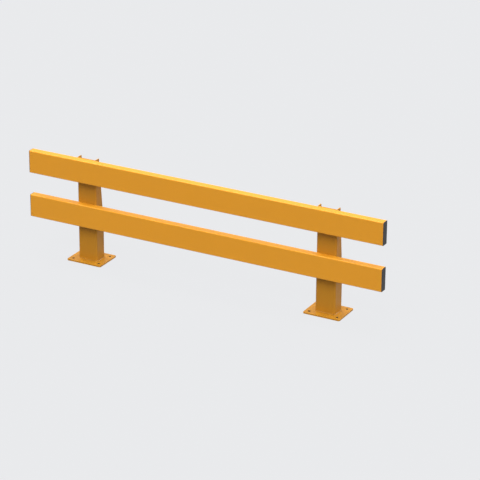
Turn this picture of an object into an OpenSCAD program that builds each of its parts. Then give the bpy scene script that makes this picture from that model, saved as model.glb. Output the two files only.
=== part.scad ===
// Two-rail steel guard barrier section, one bay: two box-section rails bolted to the
// fronts of two folded channel posts, each post welded to a base plate with four holes.
// Millimetres, +Z up. X runs along the rails, -Y is the guarded front. The origin lies on
// the ground, midway between the two base plates.

/* [Rails] */
// Length of each rail tube, without its end caps
rail_length = 2490; // [2000:10:6000]
// Height of the rail section
rail_height = 150; // [100:1:200]
// Depth of the rail section, front to back
rail_depth = 50; // [40:1:100]
// Wall of the rail tube
rail_wall = 3; // [2:0.5:6]
// Outer radius of the rail's long edges
rail_corner = 5; // [3:0.5:10]
// Distance between the middles of the two rails
rail_pitch = 300; // [210:5:380]
// Height of the upper rail's top above the ground
top_height = 700; // [600:5:1100]

/* [End caps] */
// Thickness of the cap's face, outside the tube
cap_face = 3; // [2:0.5:6]
// Length of the cap's plug, inside the tube
cap_plug_length = 25; // [10:1:60]
// Wall of the hollow plug
cap_plug_wall = 3; // [2:0.5:6]
// Gap all round between the plug and the tube
cap_clearance = 0.3; // [0.1:0.1:0.8]

/* [Posts] */
// How far a rail tube runs past the middle of each post
rail_overhang = 395; // [200:5:600]
// Width of the channel's front web
post_width = 135; // [100:1:180]
// Depth of the channel at its foot
post_depth = 88; // [70:1:110]
// Depth of the channel at its top, where the side flanges have narrowed
post_top_depth = 44; // [35:1:65]
// Thickness of the folded plate
post_plate = 6; // [4:0.5:10]
// Outer radius of the two folds
post_fold = 9; // [7:0.5:14]
// Height above the ground at which the side flanges start to narrow
taper_height = 250; // [100:5:500]

/* [Base plates] */
// Width of the plate, along the rails
plate_width = 250; // [220:5:320]
// Depth of the plate, front to back
plate_depth = 200; // [180:5:260]
// Thickness of the plate
plate_thickness = 10; // [8:1:20]
// Radius of the plate's corners
plate_corner = 10; // [4:1:20]
// Distance between the anchor holes along the rails
anchor_spacing_x = 190; // [150:5:210]
// Distance between the anchor holes, front to back
anchor_spacing_y = 140; // [132:2:160]
// Diameter of the anchor holes
anchor_hole = 16; // [12:1:18]

/* [Fixings] */
// Diameter of the bolts that hold the rails
bolt_diameter = 12; // [8:1:14]
// Length of the bolt under its head
bolt_length = 30; // [25:1:40]
// Width of the bolt's head across its flats
bolt_flats = 18; // [16:0.5:22]
// Height of the bolt's head
bolt_head = 7.5; // [5:0.5:10]
// Distance between the two bolts, one above the other, that hold a rail to a post
bolt_spacing = 90; // [50:5:100]
// Gap all round between a bolt and the holes in the post and washer
bolt_clearance = 0.5; // [0.3:0.1:1]
// Gap all round between a bolt and its threaded insert
thread_clearance = 0.1; // [0.1:0.1:0.3]
// Diameter of the washer
washer_diameter = 28; // [24:1:36]
// Thickness of the washer
washer_thickness = 2.5; // [1.5:0.5:4]
// Diameter of the threaded insert set in the rail's back wall
insert_diameter = 18; // [17:1:24]
// Length of the threaded insert, from the rail's back
insert_length = 20; // [15:1:30]
// Leg of the weld round the foot of the post
weld_leg = 6; // [3:0.5:8]

/* [Hidden] */
$fn = 64;
// How far a cut runs past the face it leaves
past = 1;
// Smallest radius left on an inner edge
least_radius = 0.5;

// Inner radii of the rail tube, the cap's plug and the post's folds
rail_inner_corner = max(least_radius, rail_corner - rail_wall);
plug_corner = max(least_radius, rail_inner_corner - cap_clearance);
plug_inner_corner = max(least_radius, plug_corner - cap_plug_wall);
fold_inner = max(least_radius, post_fold - post_plate);

// Inside of the rail tube and outside of the plug
rail_inside = [rail_depth - 2 * rail_wall, rail_height - 2 * rail_wall];
plug_outside = rail_inside - 2 * cap_clearance * [1, 1];
plug_inside = plug_outside - 2 * cap_plug_wall * [1, 1];

// Front of the posts, where the backs of the rails rest
post_front = -post_depth / 2;
web_back = post_front + post_plate;
post_height = top_height - plate_thickness;

// Middle of each rail's section, and of each post
rail_y = post_front - rail_depth / 2;
upper_z = top_height - rail_height / 2;
lower_z = upper_z - rail_pitch;
left_x = rail_overhang - rail_length / 2;
right_x = -left_x;

paint = [0.84, 0.57, 0.19];
plastic = [0.27, 0.27, 0.28];
zinc = [0.72, 0.73, 0.74];

// Rectangle about the origin with all four corners rounded
module rounded_rectangle(size, radius) {
    square([size.x - 2 * radius, size.y], center = true);
    square([size.x, size.y - 2 * radius], center = true);
    for (sx = [-1, 1], sy = [-1, 1])
        translate([sx * (size.x / 2 - radius), sy * (size.y / 2 - radius)])
            circle(r = radius);
}

// Rectangle from y = 0 back to y = depth, with its two front corners rounded
module round_fronted(width, depth, radius) {
    translate([-width / 2, radius])
        square([width, depth - radius]);
    translate([radius - width / 2, 0])
        square([width - 2 * radius, 2 * radius]);
    for (sx = [-1, 1])
        translate([sx * (width / 2 - radius), radius])
            circle(r = radius);
}

// Carries a flat section, drawn as [y, z], along +X
module along_x(length) {
    rotate([90, 0, 90])
        linear_extrude(length)
            children();
}

// Carries a round section about an axis along -Y, from y = 0 forwards
module rod(diameter, length) {
    rotate([90, 0, 0])
        cylinder(d = diameter, h = length);
}

// The two bolt places of one rail on one post, on the plane y
module at_bolts(x, y, z) {
    for (side = [-1, 1])
        translate([x, y, z + side * bolt_spacing / 2])
            children();
}

// Closed box tube with four threaded inserts in its back wall
module rail(z) {
    difference() {
        union() {
            translate([-rail_length / 2, rail_y, z])
                along_x(rail_length)
                    difference() {
                        rounded_rectangle([rail_depth, rail_height], rail_corner);
                        rounded_rectangle(rail_inside, rail_inner_corner);
                    }
            for (x = [left_x, right_x])
                at_bolts(x, post_front, z)
                    rod(insert_diameter, insert_length);
        }
        for (x = [left_x, right_x])
            at_bolts(x, post_front + past, z)
                rod(bolt_diameter + 2 * thread_clearance, insert_length + 2 * past);
    }
}

// Moulded cap: a face over the end of the tube and a hollow plug inside it, drawn for +X
module end_cap() {
    along_x(cap_face)
        rounded_rectangle([rail_depth, rail_height], rail_corner);
    translate([-cap_plug_length, 0, 0])
        along_x(cap_plug_length)
            difference() {
                rounded_rectangle(plug_outside, plug_corner);
                rounded_rectangle(plug_inside, plug_inner_corner);
            }
}

module left_cap(z) {
    translate([-rail_length / 2, rail_y, z])
        mirror([1, 0, 0])
            end_cap();
}

module right_cap(z) {
    translate([rail_length / 2, rail_y, z])
        end_cap();
}

// What is cut off behind the narrowing side flanges, drawn as [y, z] from the web's front
module behind_flanges() {
    polygon([
        [post_depth, taper_height],
        [post_depth + past, taper_height],
        [post_depth + past, top_height + past],
        [post_top_depth, top_height + past],
        [post_top_depth, top_height]
    ]);
}

// Folded channel, open to the back, with the bolt holes of both rails in its web
module post(x) {
    difference() {
        translate([x, post_front, plate_thickness])
            linear_extrude(post_height)
                difference() {
                    round_fronted(post_width, post_depth, post_fold);
                    translate([0, post_plate])
                        round_fronted(post_width - 2 * post_plate, post_depth, fold_inner);
                }
        translate([x - post_width / 2 - past, post_front, 0])
            along_x(post_width + 2 * past)
                behind_flanges();
        for (z = [upper_z, lower_z])
            at_bolts(x, web_back + past, z)
                rod(bolt_diameter + 2 * bolt_clearance, post_plate + 2 * past);
    }
}

// Flat plate with rounded corners and four anchor holes
module base_plate(x) {
    translate([x, 0, 0])
        difference() {
            linear_extrude(plate_thickness)
                rounded_rectangle([plate_width, plate_depth], plate_corner);
            for (sx = [-1, 1], sy = [-1, 1])
                translate([sx * anchor_spacing_x / 2, sy * anchor_spacing_y / 2, -past])
                    cylinder(d = anchor_hole, h = plate_thickness + 2 * past);
        }
}

// Section of the weld: a right angle against the plate and the post
module weld_section() {
    polygon([[0, 0], [weld_leg, 0], [0, weld_leg]]);
}

// Weld round the outside of the post's foot: the front, the two folds and the two sides
module foot_weld(x) {
    front_run = post_width - 2 * post_fold;
    side_run = post_depth - post_fold;
    translate([x, post_front, plate_thickness]) {
        translate([front_run / 2, 0, 0])
            rotate([90, 0, -90])
                linear_extrude(front_run)
                    weld_section();
        for (sx = [0, 1])
            mirror([sx, 0, 0]) {
                translate([post_width / 2, post_depth, 0])
                    rotate([90, 0, 0])
                        linear_extrude(side_run)
                            weld_section();
                translate([front_run / 2, post_fold, 0])
                    rotate([0, 0, -90])
                        rotate_extrude(angle = 90)
                            translate([post_fold, 0])
                                weld_section();
            }
    }
}

// The two washers of one rail on one post, against the back of the web
module washers(x, z) {
    at_bolts(x, web_back + washer_thickness, z)
        difference() {
            rod(washer_diameter, washer_thickness);
            translate([0, past, 0])
                rod(bolt_diameter + 2 * bolt_clearance, washer_thickness + 2 * past);
        }
}

// The two hexagon bolts of one rail on one post, with their heads behind the washers
module bolts(x, z) {
    at_bolts(x, web_back + washer_thickness, z) {
        rod(bolt_diameter, bolt_length);
        rotate([-90, 0, 0])
            cylinder(d = bolt_flats / cos(30), h = bolt_head, $fn = 6);
    }
}

module upper_rail() { color(paint) rail(upper_z); }
module lower_rail() { color(paint) rail(lower_z); }
module upper_left_end_cap() { color(plastic) left_cap(upper_z); }
module upper_right_end_cap() { color(plastic) right_cap(upper_z); }
module lower_left_end_cap() { color(plastic) left_cap(lower_z); }
module lower_right_end_cap() { color(plastic) right_cap(lower_z); }
module left_post() { color(paint) post(left_x); }
module right_post() { color(paint) post(right_x); }
module left_base_plate() { color(paint) base_plate(left_x); }
module right_base_plate() { color(paint) base_plate(right_x); }
module left_foot_weld() { color(paint) foot_weld(left_x); }
module right_foot_weld() { color(paint) foot_weld(right_x); }
module upper_left_washers() { color(zinc) washers(left_x, upper_z); }
module upper_right_washers() { color(zinc) washers(right_x, upper_z); }
module lower_left_washers() { color(zinc) washers(left_x, lower_z); }
module lower_right_washers() { color(zinc) washers(right_x, lower_z); }
module upper_left_bolts() { color(zinc) bolts(left_x, upper_z); }
module upper_right_bolts() { color(zinc) bolts(right_x, upper_z); }
module lower_left_bolts() { color(zinc) bolts(left_x, lower_z); }
module lower_right_bolts() { color(zinc) bolts(right_x, lower_z); }

upper_rail();
lower_rail();
upper_left_end_cap();
upper_right_end_cap();
lower_left_end_cap();
lower_right_end_cap();
left_post();
right_post();
left_base_plate();
right_base_plate();
left_foot_weld();
right_foot_weld();
upper_left_washers();
upper_right_washers();
lower_left_washers();
lower_right_washers();
upper_left_bolts();
upper_right_bolts();
lower_left_bolts();
lower_right_bolts();
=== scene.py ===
"""Looks of a two-rail steel guard barrier section.

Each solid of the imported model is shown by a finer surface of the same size: box rails, moulded
end caps, folded posts, drilled base plates, rippled welds, and zinc-plated bolts and washers.
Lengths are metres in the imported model's frame: X along the rails, -Y the guarded front, +Z up.
"""
import logging
import math
from dataclasses import dataclass, replace
from enum import Enum
from typing import Sequence

import bmesh
import bpy
import numpy as np
from bpy.types import Material, Node, NodeSocket, NodeTree, Object
from mathutils import Matrix, Vector
from mathutils.geometry import tessellate_polygon


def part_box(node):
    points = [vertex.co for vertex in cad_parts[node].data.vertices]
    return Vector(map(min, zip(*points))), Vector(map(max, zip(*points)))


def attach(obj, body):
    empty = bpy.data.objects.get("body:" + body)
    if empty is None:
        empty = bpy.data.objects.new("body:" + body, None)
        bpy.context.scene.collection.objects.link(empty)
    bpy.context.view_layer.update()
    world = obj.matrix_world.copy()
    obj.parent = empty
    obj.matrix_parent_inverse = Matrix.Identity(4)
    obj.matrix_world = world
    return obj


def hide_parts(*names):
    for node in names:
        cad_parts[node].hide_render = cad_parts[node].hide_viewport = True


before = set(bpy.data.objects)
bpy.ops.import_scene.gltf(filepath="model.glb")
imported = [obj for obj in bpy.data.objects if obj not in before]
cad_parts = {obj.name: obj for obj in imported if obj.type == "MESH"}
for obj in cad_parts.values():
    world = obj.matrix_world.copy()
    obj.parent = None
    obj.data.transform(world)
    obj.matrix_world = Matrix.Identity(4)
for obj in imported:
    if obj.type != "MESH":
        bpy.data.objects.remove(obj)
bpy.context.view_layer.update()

Array = np.ndarray
LOG = logging.getLogger("guard_barrier")
BODY = "root"
# The marks that each point of a piece carries for its finish: its rounded edges, and where shade is
# painted in.
EDGE = "edge"
DARK = "dark"
# Points closer than this become one, and edges sharper than this stay sharp.
WELD_DISTANCE = 1e-6
SHARP_ANGLE = math.radians(40.0)
# Length of flat beside a rounded edge in which the edge mark fades, and its largest share of a flat.
EDGE_FADE = 0.003
FADE_SHARE = 0.4
# Kinds of socket on a shader group, and places of the colour sockets on a mix node.
COLOUR, VECTOR, FLOAT = "NodeSocketColor", "NodeSocketVector", "NodeSocketFloat"
MIX_A, MIX_B, MIX_RESULT = 6, 7, 2


class Slot(Enum):
    """The record's material slots."""

    PAINT = "yellow_paint"
    PLASTIC = "cap_plastic"
    ZINC = "zinc_steel"


class Level(Enum):
    """The two rails."""

    UPPER = "upper"
    LOWER = "lower"


class Side(Enum):
    """The two ends of the barrier, as seen from its front."""

    LEFT = "left"
    RIGHT = "right"

    @property
    def sign(self) -> float:
        """Which way along X this end lies."""
        return -1.0 if self is Side.LEFT else 1.0


@dataclass(frozen=True)
class Loop:
    """A closed flat outline.

    Attributes:
        points: corners in order, anticlockwise, one row each.
        normals: unit vectors that point out of the solid at each corner.
        edge: 1 on a rounded corner, 0 on the flats between.
    """

    points: Array
    normals: Array
    edge: Array

    def moved_in(self, depth: Array) -> Array:
        """The outline moved into the solid by each depth, p - depth n: two arrays, a row a depth."""
        return np.moveaxis(self.points - depth[:, None, None] * self.normals, 2, 0)

    def corners(self) -> "Loop":
        """The same outline without the points on its flats."""
        kept = self.edge > 0.0
        return Loop(self.points[kept], self.normals[kept], self.edge[kept])

    def hollow(self, centre: Sequence[float]) -> "Loop":
        """The same outline about another centre, as the rim of a hole."""
        return Loop(self.points + np.asarray(centre), -self.normals, self.edge)


def rounded_rectangle(width: float, height: float, radius: float, steps: int = 8) -> Loop:
    """A rectangle about the origin whose corners are quarter circles.

    Each corner is c + r (cos a, sin a) over a quarter turn, with one more point a short way
    along the flat at either end of it, where the edge mark has faded to 0.

    Args:
        width: size along the first axis.
        height: size along the second axis.
        radius: radius of the corners.
        steps: straight steps in each quarter circle.

    Returns:
        The outline.
    """
    fade = min(EDGE_FADE, FADE_SHARE * (min(width, height) - 2.0 * radius))
    turn = np.linspace(0.0, 0.5 * np.pi, steps + 1)
    angle = turn[None, :] + 0.5 * np.pi * np.arange(4)[:, None]
    normal = np.stack([np.cos(angle), np.sin(angle)], axis=2)
    tangent = np.stack([-np.sin(angle), np.cos(angle)], axis=2)
    sign = np.array([[1, 1], [-1, 1], [-1, -1], [1, -1]], float)
    centre = sign * (np.array([width, height]) / 2.0 - radius)
    arc = centre[:, None, :] + radius * normal
    before = arc[:, :1] - fade * tangent[:, :1]
    after = arc[:, -1:] + fade * tangent[:, -1:]
    points = np.concatenate([before, arc, after], axis=1)
    normals = np.concatenate([normal[:, :1], normal, normal[:, -1:]], axis=1)
    edge = np.ones(points.shape[:2])
    edge[:, [0, -1]] = 0.0
    return Loop(points.reshape(-1, 2), normals.reshape(-1, 2), edge.reshape(-1))


def whole_turn(count: int) -> Array:
    """Even angles round a whole turn."""
    return np.linspace(0.0, 2.0 * np.pi, count, endpoint=False)


def circle(radius: float, count: int) -> Loop:
    """A circle about the origin, r (cos a, sin a) over a whole turn, with a number of points."""
    normal = np.stack([np.cos(whole_turn(count)), np.sin(whole_turn(count))], axis=1)
    return Loop(radius * normal, normal, np.zeros(count))


def points_at(*coordinates: Array) -> Array:
    """Points from arrays of x, y and z, each spread to the shape that they have in common."""
    return np.stack(np.broadcast_arrays(*coordinates), axis=-1)


class Shell:
    """A closed surface gathered from grids and flat faces, and welded where they meet."""

    def __init__(self) -> None:
        """Starts with no points."""
        self._points: list[Array] = []
        self._marks: dict[str, list[Array]] = {EDGE: [], DARK: []}
        self._faces: list[list[int]] = []
        self._count = 0

    def _add(self, points: Array, **marks: Array | float) -> int:
        """Keeps points and their marks.

        Args:
            points: points in any arrangement.
            marks: marks by name, one for each point or one for all.

        Returns:
            The number of the first point.
        """
        first = self._count
        self._points.append(points.reshape(-1, 3))
        for name, kept in self._marks.items():
            kept.append(np.broadcast_to(marks.get(name, 0.0), points.shape[:-1]).reshape(-1))
        self._count += self._points[-1].shape[0]
        return first

    def grid(self, points: Array, edge: Array | float = 0.0, *, dark: Array | float = 0.0,
             wrap_rows: bool = False, wrap_columns: bool = False) -> None:
        """Adds a grid of four-sided faces.

        Args:
            points: rows by columns of points.
            edge: edge mark of each point, or one for all.
            dark: mark of each point where shade is painted in with a dark colour, or one for all.
            wrap_rows: joins the last row to the first.
            wrap_columns: joins the last column to the first.
        """
        rows, columns = points.shape[:2]
        index = self._add(points, edge=edge, dark=dark) + np.arange(rows * columns)
        index = index.reshape(rows, columns)
        if wrap_rows:
            index = np.concatenate([index, index[:1]], axis=0)
        if wrap_columns:
            index = np.concatenate([index, index[:, :1]], axis=1)
        quads = np.stack([index[:-1, :-1], index[:-1, 1:], index[1:, 1:], index[1:, :-1]], axis=-1)
        self._faces.extend(quads.reshape(-1, 4).tolist())

    def flat(self, loops: Sequence[Array]) -> None:
        """Fills a flat face with triangles.

        Args:
            loops: points of its outline, then of each of its holes.
        """
        points = np.concatenate(loops)
        first = self._add(points)
        triangles = tessellate_polygon([[Vector(p) for p in loop.tolist()] for loop in loops])
        self._faces.extend((np.array(triangles) + first).tolist())

    def to_object(self, name: str) -> Object:
        """Makes the mesh object: seams welded, faces outwards, flats flat and rounds smooth.

        Args:
            name: name of the piece.

        Returns:
            The object, at the origin, in the scene.
        """
        mesh = bpy.data.meshes.new(name)
        mesh.from_pydata(np.concatenate(self._points).tolist(), [], self._faces)
        for mark, kept in self._marks.items():
            attribute = mesh.attributes.new(mark, "FLOAT", "POINT")
            attribute.data.foreach_set("value", np.concatenate(kept).astype(np.float32))
        work = bmesh.new()
        work.from_mesh(mesh)
        bmesh.ops.remove_doubles(work, verts=work.verts, dist=WELD_DISTANCE)
        bmesh.ops.recalc_face_normals(work, faces=work.faces)
        work.to_mesh(mesh)
        work.free()
        mesh.shade_smooth()
        mesh.set_sharp_from_angle(angle=SHARP_ANGLE)
        obj = bpy.data.objects.new(name, mesh)
        bpy.context.scene.collection.objects.link(obj)
        flats = obj.modifiers.new("flat_faces", "WEIGHTED_NORMAL")
        flats.keep_sharp = True
        return obj


def node_box(node: str) -> tuple[Array, Array]:
    """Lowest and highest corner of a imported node, as arrays."""
    low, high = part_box(node)
    return np.array(low), np.array(high)


def quarter_turn(steps: int = 4) -> tuple[Array, Array]:
    """Cosines and sines of even steps over a quarter turn."""
    angle = 0.5 * np.pi * np.linspace(0.0, 1.0, steps + 1)
    return np.cos(angle), np.sin(angle)


def add_math(tree: NodeTree, operation: str, *values: NodeSocket | float) -> NodeSocket:
    """Adds a math node.

    Args:
        tree: the shader's tree.
        operation: what the node works out.
        values: its inputs in order, each an output to link or a number.

    Returns:
        The node's output.
    """
    node = tree.nodes.new("ShaderNodeMath")
    node.operation = operation
    for socket, value in zip(node.inputs, values):
        if isinstance(value, float):
            socket.default_value = value
        else:
            tree.links.new(value, socket)
    return node.outputs[0]


class GroupName(Enum):
    """The shader node groups that the finishes share."""

    DRIFT = "tone_drift"
    GRAIN = "surface_grain"
    MARKS = "handling_marks"
    EDGES = "edge_tone"


def start_group(name: GroupName, inputs: dict[str, str],
                outputs: dict[str, str]) -> tuple[NodeTree, Node, Node]:
    """Starts a group with named sockets.

    Args:
        name: which group.
        inputs: kinds of its inputs by name.
        outputs: kinds of its outputs by name.

    Returns:
        The group's tree, and the nodes of its inputs and outputs.
    """
    tree = bpy.data.node_groups.new(name.value, "ShaderNodeTree")
    for way, sockets in (("INPUT", inputs), ("OUTPUT", outputs)):
        for socket, kind in sockets.items():
            tree.interface.new_socket(socket, in_out=way, socket_type=kind)
    return tree, tree.nodes.new("NodeGroupInput"), tree.nodes.new("NodeGroupOutput")


def add_noise(tree: NodeTree, vector: NodeSocket, scale: NodeSocket, detail: float,
              bend: float = 0.0) -> NodeSocket:
    """Adds a noise node.

    Args:
        tree: the shader's tree.
        vector: where the noise is read.
        scale: its scale.
        detail: how many finer layers it has.
        bend: how bent it is.

    Returns:
        The noise, about 1/2.
    """
    node = tree.nodes.new("ShaderNodeTexNoise")
    node.inputs["Detail"].default_value = detail
    node.inputs["Distortion"].default_value = bend
    tree.links.new(vector, node.inputs["Vector"])
    tree.links.new(scale, node.inputs["Scale"])
    return node.outputs["Fac"]


def scale_colour(tree: NodeTree, colour: NodeSocket, level: NodeSocket, target: NodeSocket) -> None:
    """Links a colour, made lighter or darker, to a socket.

    Args:
        tree: the shader's tree.
        colour: the colour.
        level: what it is multiplied by.
        target: the socket that takes the result.
    """
    node = tree.nodes.new("ShaderNodeVectorMath")
    node.operation = "SCALE"
    tree.links.new(colour, node.inputs[0])
    tree.links.new(level, node.inputs["Scale"])
    tree.links.new(node.outputs[0], target)


class SharedGroups:
    """Builds each shared shader group once and hands it out by name.

    Attributes:
        SPECK_SCALE: scale of the specks' noise, against that of the clouds of tone.
        FINE_SCALE: scale of a skin's second noise, against that of its first.
        PATCH_RANGE: values of a noise at which a handling mark starts and is whole.
        SCUFF_SCALE: scale of the scuffs' noise, against that of the patches.
        SCUFF_SLOPE: slope of a scuff away from its middle line.
    """

    SPECK_SCALE = 100.0
    FINE_SCALE = 4.0
    PATCH_RANGE = (0.40, 0.75)
    SCUFF_SCALE = 0.6
    SCUFF_SLOPE = -110.0

    def __init__(self) -> None:
        """Makes all the groups."""
        self._trees: dict[GroupName, NodeTree] = {
            GroupName.DRIFT: self._drift(),
            GroupName.GRAIN: self._grain(),
            GroupName.MARKS: self._marks(),
            GroupName.EDGES: self._edges(),
        }

    def place(self, material: Material, name: GroupName,
              values: dict[str, float | tuple[float, ...]]) -> Node:
        """Puts a group into a material.

        Args:
            material: the material that uses it.
            name: which group.
            values: its inputs' values in this material.

        Returns:
            The group's node.
        """
        node = material.node_tree.nodes.new("ShaderNodeGroup")
        node.node_tree = self._trees[name]
        for socket, value in values.items():
            node.inputs[socket].default_value = value
        return node

    def _drift(self) -> NodeTree:
        """Colour times 1 + amount (clouds - 1/2) + speckle (specks - 1/2).

        The clouds are a noise of the given scale, and the specks one a hundred times finer.

        Returns:
            The group's tree.
        """
        tree, given, result = start_group(
            GroupName.DRIFT,
            {"Colour": COLOUR, "Vector": VECTOR, "Scale": FLOAT, "Amount": FLOAT, "Speckle": FLOAT},
            {"Colour": COLOUR})
        finer = add_math(tree, "MULTIPLY", given.outputs["Scale"], self.SPECK_SCALE)
        level: NodeSocket | float = 1.0
        for scale, share in ((given.outputs["Scale"], "Amount"), (finer, "Speckle")):
            noise = add_noise(tree, given.outputs["Vector"], scale, detail=3.0)
            centred = add_math(tree, "SUBTRACT", noise, 0.5)
            level = add_math(tree, "MULTIPLY_ADD", centred, given.outputs[share], level)
        scale_colour(tree, given.outputs["Colour"], level, result.inputs["Colour"])
        return tree

    def _grain(self) -> NodeTree:
        """Height of a fine skin: rounded noise and a share of a noise four times as fine.

        Returns:
            The group's tree.
        """
        tree, given, result = start_group(
            GroupName.GRAIN, {"Vector": VECTOR, "Scale": FLOAT, "Fine": FLOAT}, {"Height": FLOAT})
        vector, scale = given.outputs["Vector"], given.outputs["Scale"]
        finer = add_math(tree, "MULTIPLY", scale, self.FINE_SCALE)
        broad = add_noise(tree, vector, scale, detail=1.0)
        fine = add_noise(tree, vector, finer, detail=2.0)
        height = add_math(tree, "MULTIPLY_ADD", fine, given.outputs["Fine"], broad)
        tree.links.new(height, result.inputs["Height"])
        return tree

    def _marks(self) -> NodeTree:
        """Roughness raised in soft patches, and along thin scuffs inside them.

        The patches are where a noise is high. The scuffs are where a broader, bent noise passes
        its middle value: 1 + slope |noise - 1/2|, kept above 0.

        Returns:
            The group's tree.
        """
        tree, given, result = start_group(
            GroupName.MARKS,
            {"Vector": VECTOR, "Scale": FLOAT, "Roughness": FLOAT, "Amount": FLOAT},
            {"Roughness": FLOAT, "Scuffs": FLOAT})
        vector, scale = given.outputs["Vector"], given.outputs["Scale"]
        broader = add_math(tree, "MULTIPLY", scale, self.SCUFF_SCALE)
        patch = add_noise(tree, vector, scale, detail=5.0, bend=0.6)
        bent = add_noise(tree, vector, broader, detail=1.0, bend=1.8)
        soft = tree.nodes.new("ShaderNodeMapRange")
        for socket, value in zip(("From Min", "From Max"), self.PATCH_RANGE):
            soft.inputs[socket].default_value = value
        tree.links.new(patch, soft.inputs["Value"])
        away = add_math(tree, "ABSOLUTE", add_math(tree, "SUBTRACT", bent, 0.5))
        line = add_math(tree, "MULTIPLY_ADD", away, self.SCUFF_SLOPE, 1.0)
        thin = add_math(tree, "MAXIMUM", line, 0.0)
        scuffs = add_math(tree, "MULTIPLY", thin, soft.outputs["Result"])
        both = add_math(tree, "ADD", soft.outputs["Result"], scuffs)
        rough = add_math(tree, "MULTIPLY_ADD", both, given.outputs["Amount"], given.outputs["Roughness"])
        tree.links.new(rough, result.inputs["Roughness"])
        tree.links.new(scuffs, result.inputs["Scuffs"])
        return tree

    def _edges(self) -> NodeTree:
        """Colour times 1 + lift edge + lift scuffs, mixed with a dark tone by the dark mark, which
        paints in shade.

        Returns:
            The group's tree.
        """
        tree, given, result = start_group(
            GroupName.EDGES, {"Colour": COLOUR, "Lift": FLOAT, "Scuffs": FLOAT, "Dark": COLOUR},
            {"Colour": COLOUR})
        edge, dark = (tree.nodes.new("ShaderNodeAttribute") for _ in range(2))
        edge.attribute_name, dark.attribute_name = EDGE, DARK
        total = add_math(tree, "ADD", edge.outputs["Fac"], given.outputs["Scuffs"])
        level = add_math(tree, "MULTIPLY_ADD", total, given.outputs["Lift"], 1.0)
        mix = tree.nodes.new("ShaderNodeMix")
        mix.data_type = "RGBA"
        tree.links.new(dark.outputs["Fac"], mix.inputs[0])
        scale_colour(tree, given.outputs["Colour"], level, mix.inputs[MIX_A])
        tree.links.new(given.outputs["Dark"], mix.inputs[MIX_B])
        tree.links.new(mix.outputs[MIX_RESULT], result.inputs["Colour"])
        return tree


@dataclass(frozen=True)
class Finish:
    """One surface finish, as numbers.

    Attributes:
        name: the material's name.
        slot: the record's slot that the finish belongs to; not used.
        colour: linear base colour.
        roughness: least roughness of the surface.
        metallic: 1 for bare metal, 0 for a coat or a plastic.
        specular: specular level.
        drift: size in metres, then strength, of the slow change of tone.
        speckle: strength of the fine change of tone.
        grain: size in metres, then depth in metres, of the fine skin.
        grain_fine: share of the finer noise in the skin.
        marks: size in metres, then added roughness, of handling marks.
        edge_lift: how much lighter the rounded edges and the scuffs are.
        dark: linear colour of the shade painted on the anchor holes' walls and along the weld.
    """

    name: str
    slot: Slot
    colour: tuple[float, float, float]
    roughness: float
    metallic: float
    specular: float
    drift: tuple[float, float]
    speckle: float
    grain: tuple[float, float]
    grain_fine: float
    marks: tuple[float, float]
    edge_lift: float
    # This dark colour paints shade into the anchor holes and along the weld.
    dark: tuple[float, float, float] = (0.05, 0.036, 0.02)

    def material(self, groups: SharedGroups) -> Material:
        """Builds the material of this finish from the shared groups.

        Args:
            groups: the shared shader groups.

        Returns:
            The material.
        """
        material = bpy.data.materials.new(self.name)
        material.use_nodes = True
        nodes, link = material.node_tree.nodes, material.node_tree.links.new
        shader = nodes["Principled BSDF"]
        shader.inputs["Metallic"].default_value = self.metallic
        shader.inputs["Specular IOR Level"].default_value = self.specular
        place = nodes.new("ShaderNodeTexCoord").outputs["Object"]
        drift = groups.place(material, GroupName.DRIFT, {
            "Colour": (*self.colour, 1.0), "Scale": 1.0 / self.drift[0], "Amount": self.drift[1],
            "Speckle": self.speckle})
        edges = groups.place(material, GroupName.EDGES, {
            "Lift": self.edge_lift, "Dark": (*self.dark, 1.0)})
        marks = groups.place(material, GroupName.MARKS, {
            "Scale": 1.0 / self.marks[0], "Roughness": self.roughness, "Amount": self.marks[1]})
        grain = groups.place(material, GroupName.GRAIN, {
            "Scale": 1.0 / self.grain[0], "Fine": self.grain_fine})
        bump = nodes.new("ShaderNodeBump")
        bump.inputs["Distance"].default_value = self.grain[1]
        for group in (drift, marks, grain):
            link(place, group.inputs["Vector"])
        link(drift.outputs["Colour"], edges.inputs["Colour"])
        link(marks.outputs["Scuffs"], edges.inputs["Scuffs"])
        link(edges.outputs["Colour"], shader.inputs["Base Color"])
        link(marks.outputs["Roughness"], shader.inputs["Roughness"])
        link(grain.outputs["Height"], bump.inputs["Height"])
        link(bump.outputs["Normal"], shader.inputs["Normal"])
        return material


RAIL_COAT = Finish(
    name="rail_coat", slot=Slot.PAINT, colour=(0.672, 0.281, 0.015), roughness=0.40, metallic=0.0,
    specular=0.38, drift=(0.30, 0.06), speckle=0.10, grain=(0.0026, 0.00022), grain_fine=0.25,
    marks=(0.06, 0.10), edge_lift=0.07)
# The posts, plates and welds carry a darker, duller copy of the rails' coat: painted shade, standing in
# for the shade that falls on them under the rails.
PAINTED_SHADE_COAT = replace(RAIL_COAT, name="painted_shade_coat", colour=(0.432, 0.187, 0.0125), specular=0.24)
MOULDED_PLASTIC = Finish(
    name="moulded_plastic", slot=Slot.PLASTIC, colour=(0.025, 0.0255, 0.027), roughness=0.55,
    metallic=0.0, specular=0.28, drift=(0.06, 0.16), speckle=0.20, grain=(0.0008, 0.00010),
    grain_fine=0.60, marks=(0.03, 0.12), edge_lift=0.20)
ZINC_PLATE = Finish(
    name="zinc_plate", slot=Slot.ZINC, colour=(0.62, 0.63, 0.66), roughness=0.30, metallic=1.0,
    specular=0.5, drift=(0.008, 0.16), speckle=0.05, grain=(0.0010, 0.00002), grain_fine=0.40,
    marks=(0.006, 0.18), edge_lift=0.10)


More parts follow.
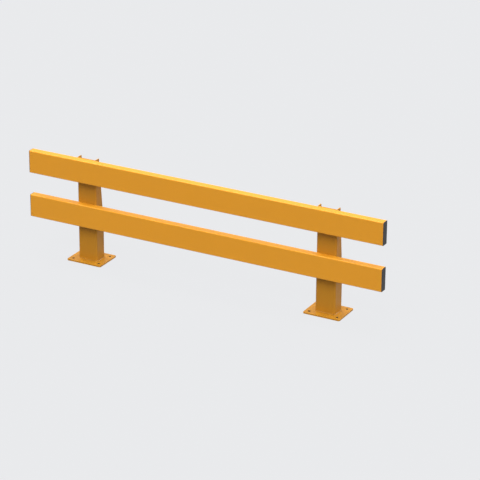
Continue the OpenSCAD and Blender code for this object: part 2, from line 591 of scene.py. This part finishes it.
@dataclass
class Dresser:
    """Gives a new piece its finish and its place in the frame."""

    groups: SharedGroups

    def __post_init__(self) -> None:
        """Makes the materials, one for each finish."""
        finishes = (RAIL_COAT, PAINTED_SHADE_COAT, MOULDED_PLASTIC, ZINC_PLATE)
        self._materials = {finish: finish.material(self.groups) for finish in finishes}

    def dress(self, piece: Object, finish: Finish, node: str) -> None:
        """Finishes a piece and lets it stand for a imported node.

        Args:
            piece: the new piece.
            finish: the finish that it takes.
            node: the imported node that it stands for.
        """
        piece.data.materials.append(self._materials[finish])
        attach(piece, BODY)
        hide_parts(node)
        LOG.info("%s stands for %s, %d faces", piece.name, node, len(piece.data.polygons))


@dataclass
class CappedRail:
    """A box-section rail with a moulded cap in each end.

    Attributes:
        level: which of the two rails.
        corner: outer radius of the tube's long edges.
        wall: thickness of the tube's wall.
        deburr: radius left on the tube's cut ends.
        cap_face: thickness of a cap outside the tube.
        cap_rim: radius round a cap's face.
        cap_crown: how far a cap's face rises to its middle.
        crown_rings: shares of the section at which that face has rings.
        plug_wall: wall of a cap's hollow plug.
        plug_gap: gap between plug and tube.
    """

    level: Level
    corner: float = 0.005
    wall: float = 0.003
    deburr: float = 0.0005
    cap_face: float = 0.003
    cap_rim: float = 0.0007
    cap_crown: float = 0.0003
    crown_rings: tuple[float, ...] = (0.0, 0.3, 0.6, 0.85)
    plug_wall: float = 0.003
    plug_gap: float = 0.0003

    @property
    def node(self) -> str:
        """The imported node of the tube."""
        return f"{self.level.value}_rail"

    def _cap_node(self, side: Side) -> str:
        """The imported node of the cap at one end."""
        return f"{self.level.value}_{side.value}_end_cap"

    def _section(self) -> tuple[Loop, Array, Array]:
        """Measures the tube.

        Returns:
            Its outline as [y, z], its middle and its size.
        """
        low, high = node_box(self.node)
        size = high - low
        return rounded_rectangle(size[1], size[2], self.corner), (low + high) / 2.0, size

    def build_tube(self) -> Object:
        """The tube: its wall, a long thin rounded rectangle, carried round the section.

        A point of the wall's outline gives a place along X and a depth below the surface, and
        each point of the section is moved in by that depth: (x, p - depth n).

        Returns:
            The tube's object.
        """
        section, middle, size = self._section()
        wall = rounded_rectangle(size[0], self.wall, self.deburr, steps=3)
        along, depth = wall.points[:, 0], wall.points[:, 1] + self.wall / 2.0
        shell = Shell()
        shell.grid(middle + points_at(along[:, None], *section.moved_in(depth)), section.edge[None, :],
                   wrap_rows=True, wrap_columns=True)
        return shell.to_object(self.node + "_tube")

    def build_cap(self, side: Side) -> Object:
        """A cap: rings from the middle of its crowned face out, over the rim and down the plug.

        Each ring is the section moved in by a depth and shrunk by a share, at a distance d from
        the tube's end: share (p - depth n). The face rises by crown (1 - share squared).

        Args:
            side: the end of the rail that it closes.

        Returns:
            The cap's object.
        """
        section, middle, _ = self._section()
        node = self._cap_node(side)
        low, high = node_box(node)
        plug_end = self.cap_face - (high[0] - low[0])
        plug_out = self.wall + self.plug_gap
        plug_in = plug_out + self.plug_wall
        share = np.array(self.crown_rings)
        cos, sin = quarter_turn()
        rim_top = self.cap_face - self.cap_crown
        face = np.stack([rim_top + self.cap_crown * (1.0 - share ** 2),
                         np.full(len(share), self.cap_rim), share], axis=1)
        rim = np.stack([rim_top - self.cap_rim * (1.0 - cos), self.cap_rim * (1.0 - sin),
                        np.ones(len(cos))], axis=1)
        plug = np.array([[0.0, 0.0, 1.0], [0.0, plug_out, 1.0], [plug_end, plug_out, 1.0],
                         [plug_end, plug_in, 1.0], [0.0, plug_in, 1.0], [0.0, plug_in, 0.0]])
        rings = np.concatenate([face, rim, plug])
        distance, depth, shrink = rings.T
        y, z = shrink[:, None] * section.moved_in(depth)
        tube_end = high[0] - self.cap_face if side is Side.RIGHT else low[0] + self.cap_face
        x = tube_end + side.sign * distance[:, None]
        edge = np.zeros(len(rings))
        edge[len(face):len(face) + len(rim) + 1] = 1.0
        shell = Shell()
        shell.grid(points_at(x, y + middle[1], z + middle[2]), edge[:, None], wrap_columns=True)
        return shell.to_object(node + "_moulding")

    def build(self, dresser: Dresser) -> None:
        """Makes and dresses the tube and its two caps.

        Args:
            dresser: gives the pieces their finishes.
        """
        dresser.dress(self.build_tube(), RAIL_COAT, self.node)
        for side in Side:
            dresser.dress(self.build_cap(side), MOULDED_PLASTIC, self._cap_node(side))


@dataclass
class StandingPost:
    """A folded channel post on its base plate, with the weld between them.

    Attributes:
        side: which of the two posts.
        plate: thickness of the folded plate.
        fold: outer radius of the folds.
        fold_steps: straight steps in each fold.
        top_depth: depth of the channel at its top.
        taper_height: height at which the flanges start to narrow.
        deburr: radius on the cut edges of the channel and the base plate.
        plate_corner: radius of the base plate's corners.
        anchor_hole: diameter of the anchor holes.
        anchor_points: points round an anchor hole.
        anchor_spacing: distance between anchor holes, along X and along Y.
        painted_hole_shade: share of the rounded edge within which a hole's wall gets painted shade.
        weld_points: points across the weld's face.
        weld_hollow: power that hollows the weld's face.
        weld_sunk: how far the weld is sunk into what it joins.
        weld_ripple: length of one ripple of the weld.
        weld_steps: steps along each ripple.
        weld_swell: height of a ripple, as a share of the bead.
        weld_lag: angle by which a ripple lags at the toes.
        weld_wander: size, rate and start of each slow drift of the ripples.
        weld_end: length of the weld's rounded ends.
        weld_painted_shade: share of painted shade along the weld's middle, and how much more at its
            toes, in the creases against the post and the plate.
    """

    side: Side
    plate: float = 0.006
    fold: float = 0.009
    fold_steps: int = 10
    top_depth: float = 0.044
    taper_height: float = 0.250
    deburr: float = 0.0005
    plate_corner: float = 0.010
    anchor_hole: float = 0.016
    anchor_points: int = 48
    anchor_spacing: tuple[float, float] = (0.190, 0.140)
    painted_hole_shade: float = 0.4
    weld_points: int = 9
    weld_hollow: float = 3.6
    weld_sunk: float = 0.0004
    weld_ripple: float = 0.0042
    weld_steps: int = 8
    weld_swell: float = 0.07
    weld_lag: float = 0.9
    weld_wander: tuple[tuple[float, float, float], ...] = ((0.35, 0.07, 0.0), (0.25, 0.023, 1.0))
    weld_end: float = 0.006
    weld_painted_shade: tuple[float, float] = (0.24, 0.36)

    def node(self, part: str) -> str:
        """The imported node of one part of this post."""
        return f"{self.side.value}_{part}"

    def _blank(self, width: float) -> dict[str, Array]:
        """The middle line of the folded plate, from the left flange's tip to the right one's.

        Each column has its place across the post, its unit normal out of the channel, half the
        thickness there, and its place front to back: either fixed, or so far short of the tip.

        Args:
            width: outer width of the channel.

        Returns:
            Arrays by name: x, y, short, moves, normal, half, edge.
        """
        cos, sin = quarter_turn()
        half = self.plate / 2.0
        reach = width / 2.0 - half
        bend = self.fold - half
        turn_cos, turn_sin = quarter_turn(self.fold_steps)
        tip = len(cos)
        fold = len(turn_cos)
        # One side of the channel, from the tip of the flange to the middle of the web.
        x = np.concatenate([np.full(tip + 2, reach), reach - bend * (1.0 - turn_cos), [0.0]])
        y = np.concatenate([np.zeros(tip + 1), [self.fold], self.fold - bend * turn_sin, [half]])
        short = np.concatenate([
            self.deburr * (1.0 - sin[::-1]), [self.deburr + EDGE_FADE], np.zeros(fold + 2)])
        moves = np.concatenate([np.ones(tip + 1), np.zeros(fold + 2)])
        thick = np.concatenate([half - self.deburr * (1.0 - cos[::-1]), np.full(fold + 3, half)])
        normal = np.concatenate([
            np.tile([1.0, 0.0], (tip + 2, 1)), np.stack([turn_cos, -turn_sin], axis=1), [[0.0, -1.0]]])
        edge = np.concatenate([np.ones(tip), np.zeros(fold + 3)])
        # The other side is its mirror image, and both share the middle of the web.
        columns = {"x": x, "y": y, "short": short, "moves": moves, "normal": normal, "half": thick,
                   "edge": edge}
        blank = {name: np.concatenate([row, row[-2::-1]]) for name, row in columns.items()}
        blank["x"][:len(x)] *= -1.0
        blank["normal"][:len(x), 0] *= -1.0
        return blank

    def build_channel(self) -> Object:
        """The channel: a cut plate folded twice.

        A point of the plate is m + h n, with m on the folded middle line, n its normal and h up
        to half the thickness. The flange's tip draws in evenly from the taper's start to the top,
        and the top edge is rounded by drawing the thickness in along a quarter circle.

        Returns:
            The channel's object.
        """
        low, high = node_box(self.node("post"))
        size = high - low
        blank = self._blank(size[0])
        cos, sin = quarter_turn()
        straight = [low[2], self.taper_height, high[2] - self.deburr - EDGE_FADE]
        height = np.concatenate([straight, high[2] - self.deburr * (1.0 - sin)])
        drawn = np.concatenate([np.zeros(len(straight)), self.deburr * (1.0 - cos)])
        row_edge = np.concatenate([np.zeros(len(straight)), np.ones(len(sin))])
        share = np.clip((height - self.taper_height) / (high[2] - self.taper_height), 0.0, 1.0)
        depth = size[1] + share * (self.top_depth - size[1]) - drawn
        y = np.where(blank["moves"] > 0, depth[:, None] - blank["short"], blank["y"])
        middle = points_at(blank["x"], y, height[:, None])
        normal = np.concatenate([blank["normal"], np.zeros((len(blank["x"]), 1))], axis=1)
        thick = (blank["half"] - drawn[:, None])[..., None] * normal
        corner = np.array([(low[0] + high[0]) / 2.0, low[1], 0.0])
        outside, inside = corner + middle + thick, corner + middle - thick
        edge = np.maximum(blank["edge"], row_edge[:, None])
        shell = Shell()
        shell.grid(np.concatenate([outside, inside[:, ::-1]], axis=1),
                   np.concatenate([edge, edge[:, ::-1]], axis=1), wrap_columns=True)
        for row in (0, -1):
            shell.grid(np.stack([outside[row], inside[row]]), edge[row][None])
        return shell.to_object(self.node("post") + "_channel")

    def build_base_plate(self) -> Object:
        """The base plate: two flat faces with holes, and a rounded edge carried round each rim.

        The edge's own line runs from the top face over a quarter circle, down the side and round
        to the underside; each rim is moved into the plate by that line's depth.

        Returns:
            The plate's object.
        """
        node = self.node("base_plate")
        low, high = node_box(node)
        size, middle = high - low, (low + high) / 2.0
        hole = circle(self.anchor_hole / 2.0, self.anchor_points)
        step = np.array(self.anchor_spacing) / 2.0
        rims = [rounded_rectangle(size[0], size[1], self.plate_corner).corners()]
        rims += [hole.hollow(step * (sx, sy)) for sx in (-1, 1) for sy in (-1, 1)]
        cos, sin = quarter_turn()
        depth = np.concatenate([[self.deburr + EDGE_FADE], self.deburr * (1.0 - sin)])
        drop = np.concatenate([[0.0], self.deburr * (1.0 - cos)])
        depth = np.concatenate([depth, depth[::-1]])
        height = np.concatenate([high[2] - drop, (low[2] + drop)[::-1]])
        mark = np.concatenate([[0.0], np.ones(len(depth) - 2), [0.0]])
        # Painted shade: the walls of the anchor holes are marked to take the dark colour, as if in
        # shadow.
        wall = np.where(depth < self.painted_hole_shade * self.deburr, 1.0, 0.0)
        shell = Shell()
        bands = []
        for number, rim in enumerate(rims):
            x, y = rim.moved_in(depth)
            bands.append(points_at(middle[0] + x, middle[1] + y, height[:, None]))
            shell.grid(bands[-1], mark[:, None], dark=wall[:, None] if number else 0.0,
                       wrap_columns=True)
        for row in (0, -1):
            shell.flat([band[row] for band in bands])
        return shell.to_object(node + "_drilled")

    def build_weld(self) -> Object:
        """The weld: a rippled bead with a hollow face, carried round the outside of the post's foot.

        Across the bead, out = leg cos(a) ** k and up = leg sin(a) ** k over a quarter turn. Along
        it, the leg swells by a cosine of the way gone, which lags at both toes so that each
        ripple is a crescent, and it shrinks to nothing along a quarter circle at each end.

        Returns:
            The weld's object.
        """
        post_low, post_high = node_box(self.node("post"))
        node = self.node("foot_weld")
        low, high = node_box(node)
        leg = high[2] - low[2]
        way, foot, out = self._foot_line(post_low, post_high)
        across = np.linspace(0.0, 0.5 * np.pi, self.weld_points)
        toe = (across / (0.25 * np.pi) - 1.0) ** 2
        phase = 2.0 * np.pi * way[:, None] / self.weld_ripple
        wander = sum(size * np.sin(rate * phase + start) for size, rate, start in self.weld_wander)
        ripple = np.cos(phase - self.weld_lag * toe + wander)
        swell = 1.0 - self.weld_swell * (0.5 - 0.5 * ripple)
        ends = np.clip(np.minimum(way, way[-1] - way) / self.weld_end, 0.0, 1.0)
        reach = leg * swell * np.sqrt(1.0 - (1.0 - ends[:, None]) ** 2)
        root = np.full((len(way), 1), -self.weld_sunk)
        outward, upward = (
            np.concatenate([reach * turn ** self.weld_hollow - self.weld_sunk, root], axis=1)
            for turn in (np.cos(across), np.sin(across)))
        x, y = (foot[:, None, axis] + outward * out[:, None, axis] for axis in range(2))
        # Painted shade along the weld, darkest at its toes where it meets the post and the plate.
        painted_shade = self.weld_painted_shade[0] + self.weld_painted_shade[1] * toe
        shell = Shell()
        shell.grid(points_at(x, y, low[2] + upward), dark=np.append(painted_shade, 0.0), wrap_columns=True)
        return shell.to_object(node + "_bead")

    def _foot_line(self, low: Array, high: Array) -> tuple[Array, Array, Array]:
        """The line round the outside of the post's foot, in even steps.

        It runs forward along the left flange, round a quarter circle, along the web, round
        another quarter circle and back along the right flange. A point of it is the corner of
        the line inside the folds, moved out by the fold's radius along the normal.

        Args:
            low: lowest corner of the post.
            high: highest corner of the post.

        Returns:
            The way gone, the points as [x, y] and the outward normals.
        """
        flange = high[1] - low[1] - self.fold
        web = high[0] - low[0] - 2.0 * self.fold
        arc = 0.5 * np.pi * self.fold
        total = 2.0 * (flange + arc) + web
        way = np.linspace(0.0, total, int(total / self.weld_ripple * self.weld_steps))
        turn = (np.clip((way - flange) / arc, 0.0, 1.0)
                + np.clip((way - flange - arc - web) / arc, 0.0, 1.0)) * 0.5 * np.pi
        normal = np.stack([-np.cos(turn), -np.sin(turn)], axis=1)
        x = low[0] + self.fold + np.clip(way - flange - arc, 0.0, web)
        y = np.maximum(high[1] - way, low[1] + self.fold)
        y = np.maximum(y, high[1] - (total - way))
        return way, np.stack([x, y], axis=1) + self.fold * normal, normal

    def build(self, dresser: Dresser) -> None:
        """Makes and dresses the channel, its base plate and their weld.

        Args:
            dresser: gives the pieces their finishes.
        """
        # The channel, plate and weld take the coat with painted shade, darker than the rails' coat.
        dresser.dress(self.build_channel(), PAINTED_SHADE_COAT, self.node("post"))
        dresser.dress(self.build_base_plate(), PAINTED_SHADE_COAT, self.node("base_plate"))
        dresser.dress(self.build_weld(), PAINTED_SHADE_COAT, self.node("foot_weld"))


@dataclass
class RailFixing:
    """The two bolts and washers that hold one rail to one post.

    Attributes:
        level: the rail that is held.
        side: the post that holds it.
        bolt: diameter of the bolts.
        flats: width of a head across its flats.
        head: height of a head.
        head_points: points round a bolt.
        crown_share: width of the flat top of a head, as a share of its flats.
        crown_ring: share of that flat at which it has a ring.
        crown_slope: slope of the turned crown round it.
        skirt: height of the step under a head.
        skirt_share: width of the hexagon's lower face, as a share of the hexagon.
        seat_share: width of the step, as a share of the flats.
        tip: length of a shank's narrowed tip.
        tip_share: width at the end of that tip, as a share of the bolt's.
        washer_round: radius on a washer's edges.
        washer_points: points round a washer.
        bore_gap: gap between a bolt and its washer.
    """

    level: Level
    side: Side
    bolt: float = 0.012
    flats: float = 0.018
    head: float = 0.0075
    head_points: int = 72
    crown_share: float = 0.92
    crown_ring: float = 0.75
    crown_slope: float = math.tan(math.radians(30.0))
    skirt: float = 0.0004
    skirt_share: float = 0.97
    seat_share: float = 0.96
    tip: float = 0.001
    tip_share: float = 0.8
    washer_round: float = 0.0005
    washer_points: int = 64
    bore_gap: float = 0.0005

    def _node(self, part: str) -> str:
        """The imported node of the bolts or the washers."""
        return f"{self.level.value}_{self.side.value}_{part}"

    def _centres(self) -> Array:
        """Places the bolts' axes from the box of their washers.

        Returns:
            The two points where they leave the web, one above the other.
        """
        low, high = node_box(self._node("washers"))
        across = (high[0] - low[0]) / 2.0
        x = (low[0] + high[0]) / 2.0
        return np.array([[x, low[1], low[2] + across], [x, low[1], high[2] - across]])

    @staticmethod
    def _lathe(centre: Array, radius: Array, lift: Array, angle: Array) -> Array:
        """Rings about an axis along +Y: (r cos a, lift, r sin a) from the centre."""
        return centre + points_at(radius * np.cos(angle), lift, radius * np.sin(angle))

    def build_bolts(self) -> Object:
        """The bolts: a hexagon turned down to a crown on top, on a plain shank.

        Across the head, the hexagon's radius is half the flats over cos(a) within a sixth of a
        turn. The crown falls from the flat top by slope (r - top), so it cuts each flat in a bow.

        Returns:
            The two bolts as one object.
        """
        low, high = node_box(self._node("bolts"))
        angle = whole_turn(self.head_points)
        sixth = np.pi / 3.0
        hexagon = (self.flats / 2.0) / np.cos((angle % sixth) - sixth / 2.0)
        top = self.crown_share * self.flats / 2.0
        shank = self.bolt / 2.0
        under = self.flats / 2.0 * self.seat_share
        seat = high[1] - self.head
        end = low[1] - seat
        # Radius and height above the seat of each ring, from the top of the head to the shank's end.
        rings = [
            (0.0, self.head), (self.crown_ring * top, self.head), (top, self.head),
            (hexagon, self.head - self.crown_slope * (hexagon - top)), (hexagon, 2.0 * self.skirt),
            (self.skirt_share * hexagon, self.skirt), (under, self.skirt), (under, 0.0),
            (shank, 0.0), (shank, end + self.tip), (shank * self.tip_share, end), (0.0, end)]
        radius, lift = (np.stack([np.broadcast_to(value, angle.shape) for value in values])
                        for values in zip(*rings))
        shell = Shell()
        for centre in self._centres():
            start = np.array([centre[0], seat, centre[2]])
            shell.grid(self._lathe(start, radius, lift, angle), wrap_columns=True)
        return shell.to_object(self._node("bolts") + "_hexagon")

    def build_washers(self) -> Object:
        """The washers: a rounded rectangle, the ring's section, turned about the bolt's axis.

        Returns:
            The two washers as one object.
        """
        node = self._node("washers")
        low, high = node_box(node)
        thick = high[1] - low[1]
        outer = (high[0] - low[0]) / 2.0
        inner = self.bolt / 2.0 + self.bore_gap
        section = rounded_rectangle(outer - inner, thick, self.washer_round, steps=3)
        radius = section.points[:, :1] + (outer + inner) / 2.0
        lift = section.points[:, 1:] + thick / 2.0
        angle = whole_turn(self.washer_points)
        shell = Shell()
        for centre in self._centres():
            ring = self._lathe(centre, radius, lift, angle)
            shell.grid(ring, section.edge[:, None], wrap_rows=True, wrap_columns=True)
        return shell.to_object(node + "_flat")

    def build(self, dresser: Dresser) -> None:
        """Makes and dresses the bolts and the washers."""
        dresser.dress(self.build_washers(), ZINC_PLATE, self._node("washers"))
        dresser.dress(self.build_bolts(), ZINC_PLATE, self._node("bolts"))


@dataclass(frozen=True)
class Lamp:
    """A broad soft lamp far away.

    Attributes:
        name: its name.
        azimuth: degrees round from the barrier's front, towards +X.
        elevation: degrees above the horizon.
        spread: degrees across.
        strength: light on a face square to it.
    """

    name: str
    azimuth: float
    elevation: float
    spread: float
    strength: float

    def build(self) -> None:
        """Makes the lamp."""
        data = bpy.data.lights.new(self.name, "SUN")
        data.energy = self.strength
        data.angle = math.radians(self.spread)
        lamp = bpy.data.objects.new(self.name, data)
        toward = direction(self.azimuth, self.elevation)
        lamp.rotation_mode = "QUATERNION"
        lamp.rotation_quaternion = Vector(toward).to_track_quat("Z", "Y")
        bpy.context.scene.collection.objects.link(lamp)


def direction(azimuth: float, elevation: float) -> Array:
    """Unit vector from the barrier towards an azimuth and elevation, in degrees."""
    a, e = math.radians(azimuth), math.radians(elevation)
    return np.array([math.sin(a) * math.cos(e), -math.cos(a) * math.cos(e), math.sin(e)])


@dataclass
class Studio:
    """The pale floor, the soft light and the camera.

    Attributes:
        backdrop: linear colour that the camera sees behind the barrier.
        floor_half: half the side of the floor.
        floor_grey: grey of the floor under the lamps.
        floor_shown: linear colour that the camera sees in the floor, apart from its lit share.
        plain_share: share of that colour in the floor as seen, the rest being lit grey.
        sky_strength: strength of the even white light from all round.
        lamps: the lamps.
        azimuth: degrees of the camera round from the front, towards +X.
        elevation: degrees of the camera above the horizon.
        roll: degrees by which the camera leans to the left.
        distance: distance of the camera from what it looks at.
        aim: the point that it looks at.
        lens: focal length in millimetres.
        sensor: width of its sensor in millimetres.
        sight: how far it sees.
    """

    backdrop: tuple[float, float, float] = (0.815, 0.823, 0.839)
    floor_half: float = 60.0
    floor_grey: float = 0.088
    floor_shown: tuple[float, float, float] = (0.953, 0.963, 0.983)
    plain_share: float = 0.82
    sky_strength: float = 0.06
    lamps: tuple[Lamp, ...] = (
        Lamp("key", azimuth=0.0, elevation=54.0, spread=36.0, strength=2.30),
        Lamp("overhead", azimuth=0.0, elevation=90.0, spread=30.0, strength=2.20),
        Lamp("left_side", azimuth=-105.0, elevation=62.0, spread=36.0, strength=1.60),
        Lamp("right_fill", azimuth=50.0, elevation=14.0, spread=75.0, strength=2.45),
        Lamp("right_back", azimuth=152.0, elevation=22.0, spread=40.0, strength=1.30),
    )
    azimuth: float = 28.154
    elevation: float = 22.595
    roll: float = 0.441
    distance: float = 14.75
    aim: tuple[float, float, float] = (0.2831, -0.094, 0.3942)
    lens: float = 180.04
    sensor: float = 36.0
    sight: float = 240.0

    @staticmethod
    def _show(tree: NodeTree, lit: Node, shown: Node, share: float, output: str) -> None:
        """Ends a shader that is seen in one way, and lights the barrier in another.

        It is seen on camera, glossy and transmission rays. The other rays light the barrier.

        Args:
            tree: the shader's tree.
            lit: the node that lights the barrier.
            shown: the node that is seen.
            share: share of the second in what is seen, the rest being the first.
            output: kind of the tree's output node.
        """
        path = tree.nodes.new("ShaderNodeLightPath").outputs
        seen = add_math(tree, "MAXIMUM", path["Is Camera Ray"], path["Is Glossy Ray"])
        seen = add_math(tree, "MAXIMUM", seen, path["Is Transmission Ray"])
        mix = tree.nodes.new("ShaderNodeMixShader")
        sources = (add_math(tree, "MULTIPLY", seen, share), lit.outputs[0], shown.outputs[0])
        for source, socket in zip(sources, mix.inputs):
            tree.links.new(source, socket)
        tree.links.new(mix.outputs[0], tree.nodes.new(output).inputs["Surface"])

    def build_world(self) -> None:
        """An even light all round, which shows as the backdrop's colour."""
        world = bpy.data.worlds.new("studio")
        bpy.context.scene.world = world
        world.use_nodes = True
        tree = world.node_tree
        tree.nodes.clear()
        light, shown = (tree.nodes.new("ShaderNodeBackground") for _ in range(2))
        light.inputs["Color"].default_value = (1.0, 1.0, 1.0, 1.0)
        light.inputs["Strength"].default_value = self.sky_strength
        shown.inputs["Color"].default_value = (*self.backdrop, 1.0)
        self._show(tree, light, shown, 1.0, "ShaderNodeOutputWorld")

    def build_floor(self) -> None:
        """A wide flat floor: lit grey, seen mostly as a plain pale colour, with a faint shadow."""
        half = self.floor_half
        corners = [(-half, -half, 0.0), (half, -half, 0.0), (half, half, 0.0), (-half, half, 0.0)]
        mesh = bpy.data.meshes.new("floor")
        mesh.from_pydata(corners, [], [(0, 1, 2, 3)])
        floor = bpy.data.objects.new("floor", mesh)
        bpy.context.scene.collection.objects.link(floor)
        material = bpy.data.materials.new("pale_floor")
        material.use_nodes = True
        tree = material.node_tree
        tree.nodes.clear()
        lit = tree.nodes.new("ShaderNodeBsdfDiffuse")
        lit.inputs["Color"].default_value = (*[self.floor_grey] * 3, 1.0)
        plain = tree.nodes.new("ShaderNodeEmission")
        plain.inputs["Color"].default_value = (*self.floor_shown, 1.0)
        self._show(tree, lit, plain, self.plain_share, "ShaderNodeOutputMaterial")
        mesh.materials.append(material)

    def build_camera(self) -> None:
        """The camera at the photograph's place, looking at the aim."""
        data = bpy.data.cameras.new("camera")
        data.lens = self.lens
        data.sensor_width = self.sensor
        data.clip_end = self.sight
        camera = bpy.data.objects.new("camera", data)
        bpy.context.scene.collection.objects.link(camera)
        back = Vector(direction(self.azimuth, self.elevation))
        turned = back.to_track_quat("Z", "Y").to_matrix().to_4x4()
        lean = Matrix.Rotation(math.radians(self.roll), 4, "Z")
        place = Matrix.Translation(Vector(self.aim) + self.distance * back)
        camera.matrix_world = place @ turned @ lean
        bpy.context.scene.camera = camera

    def build(self) -> None:
        """Makes the camera, the light and the floor, and sets plain colours."""
        self.build_camera()
        self.build_world()
        for lamp in self.lamps:
            lamp.build()
        self.build_floor()
        bpy.context.scene.view_settings.view_transform = "Standard"
        LOG.info("studio with %d lamps", len(self.lamps))


def main() -> None:
    """Builds the studio, then the barrier from its rails to its fixings."""
    logging.basicConfig(level=logging.INFO, format="%(message)s")
    Studio().build()
    dresser = Dresser(SharedGroups())
    for level in Level:
        CappedRail(level).build(dresser)
    for side in Side:
        StandingPost(side).build(dresser)
    for level in Level:
        for side in Side:
            RailFixing(level, side).build(dresser)


if __name__ == "__main__":
    main()
